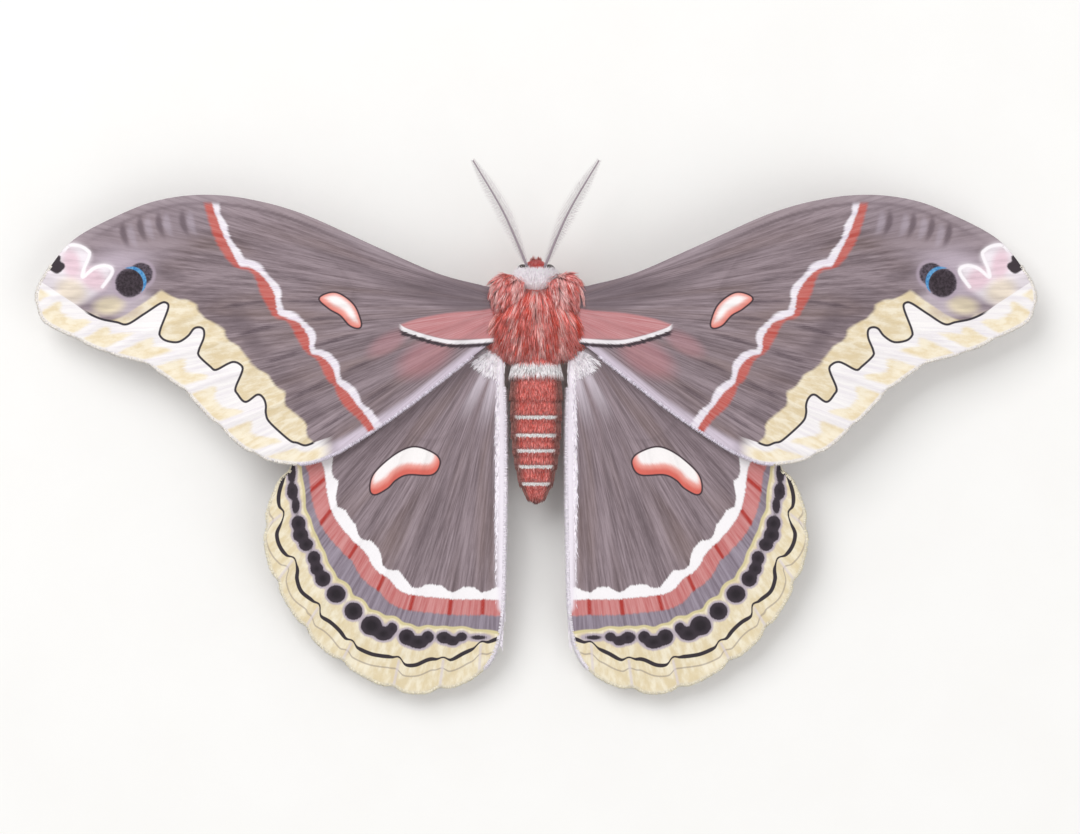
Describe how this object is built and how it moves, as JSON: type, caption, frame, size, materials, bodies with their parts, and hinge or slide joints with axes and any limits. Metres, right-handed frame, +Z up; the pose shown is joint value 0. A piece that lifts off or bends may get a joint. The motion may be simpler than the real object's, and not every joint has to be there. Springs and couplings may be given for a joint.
{
  "type": "cecropia moth",
  "caption": "Life-size giant silk moth at rest on its feet, with broad patterned wings spread flat, feathery antennae, a furry thorax and a ringed abdomen.",
  "frame": {"origin": "on the floor under the middle of the whole moth's bounding box", "axes": "+Z up, +Y forwards from the abdomen to the head, +X to the moth's right wing"},
  "size_m": [0.1504, 0.0801, 0.0141],
  "materials": {
    "thorax_fur": "dense red fur",
    "collar_fur": "dense white fur",
    "head_fur": "dense red fur",
    "abdomen_fur": "short red-brown fur with pale bands",
    "eye": "dark and glossy",
    "antenna": "matt grey barbs",
    "forewing_scales": "matt grey-brown scales with white, red and cream bands",
    "hindwing_scales": "matt grey-brown scales with white, red and cream bands",
    "leg_fur": "short red-brown fur"
  },
  "bodies": {
    "root": {"thorax": "thorax_fur", "collar": "collar_fur", "head": "head_fur", "abdomen": "abdomen_fur", "eye_left": "eye", "eye_right": "eye", "antenna_left": "antenna", "antenna_right": "antenna", "forewing_left": "forewing_scales", "forewing_right": "forewing_scales", "hindwing_left": "hindwing_scales", "hindwing_right": "hindwing_scales", "leg_front_left_femur": "leg_fur", "leg_front_left_tibia": "leg_fur", "leg_front_left_tarsus": "leg_fur", "leg_front_right_femur": "leg_fur", "leg_front_right_tibia": "leg_fur", "leg_front_right_tarsus": "leg_fur", "leg_middle_left_femur": "leg_fur", "leg_middle_left_tibia": "leg_fur", "leg_middle_left_tarsus": "leg_fur", "leg_middle_right_femur": "leg_fur", "leg_middle_right_tibia": "leg_fur", "leg_middle_right_tarsus": "leg_fur", "leg_hind_left_femur": "leg_fur", "leg_hind_left_tibia": "leg_fur", "leg_hind_left_tarsus": "leg_fur", "leg_hind_right_femur": "leg_fur", "leg_hind_right_tibia": "leg_fur", "leg_hind_right_tarsus": "leg_fur"}
  },
  "joints": []
}
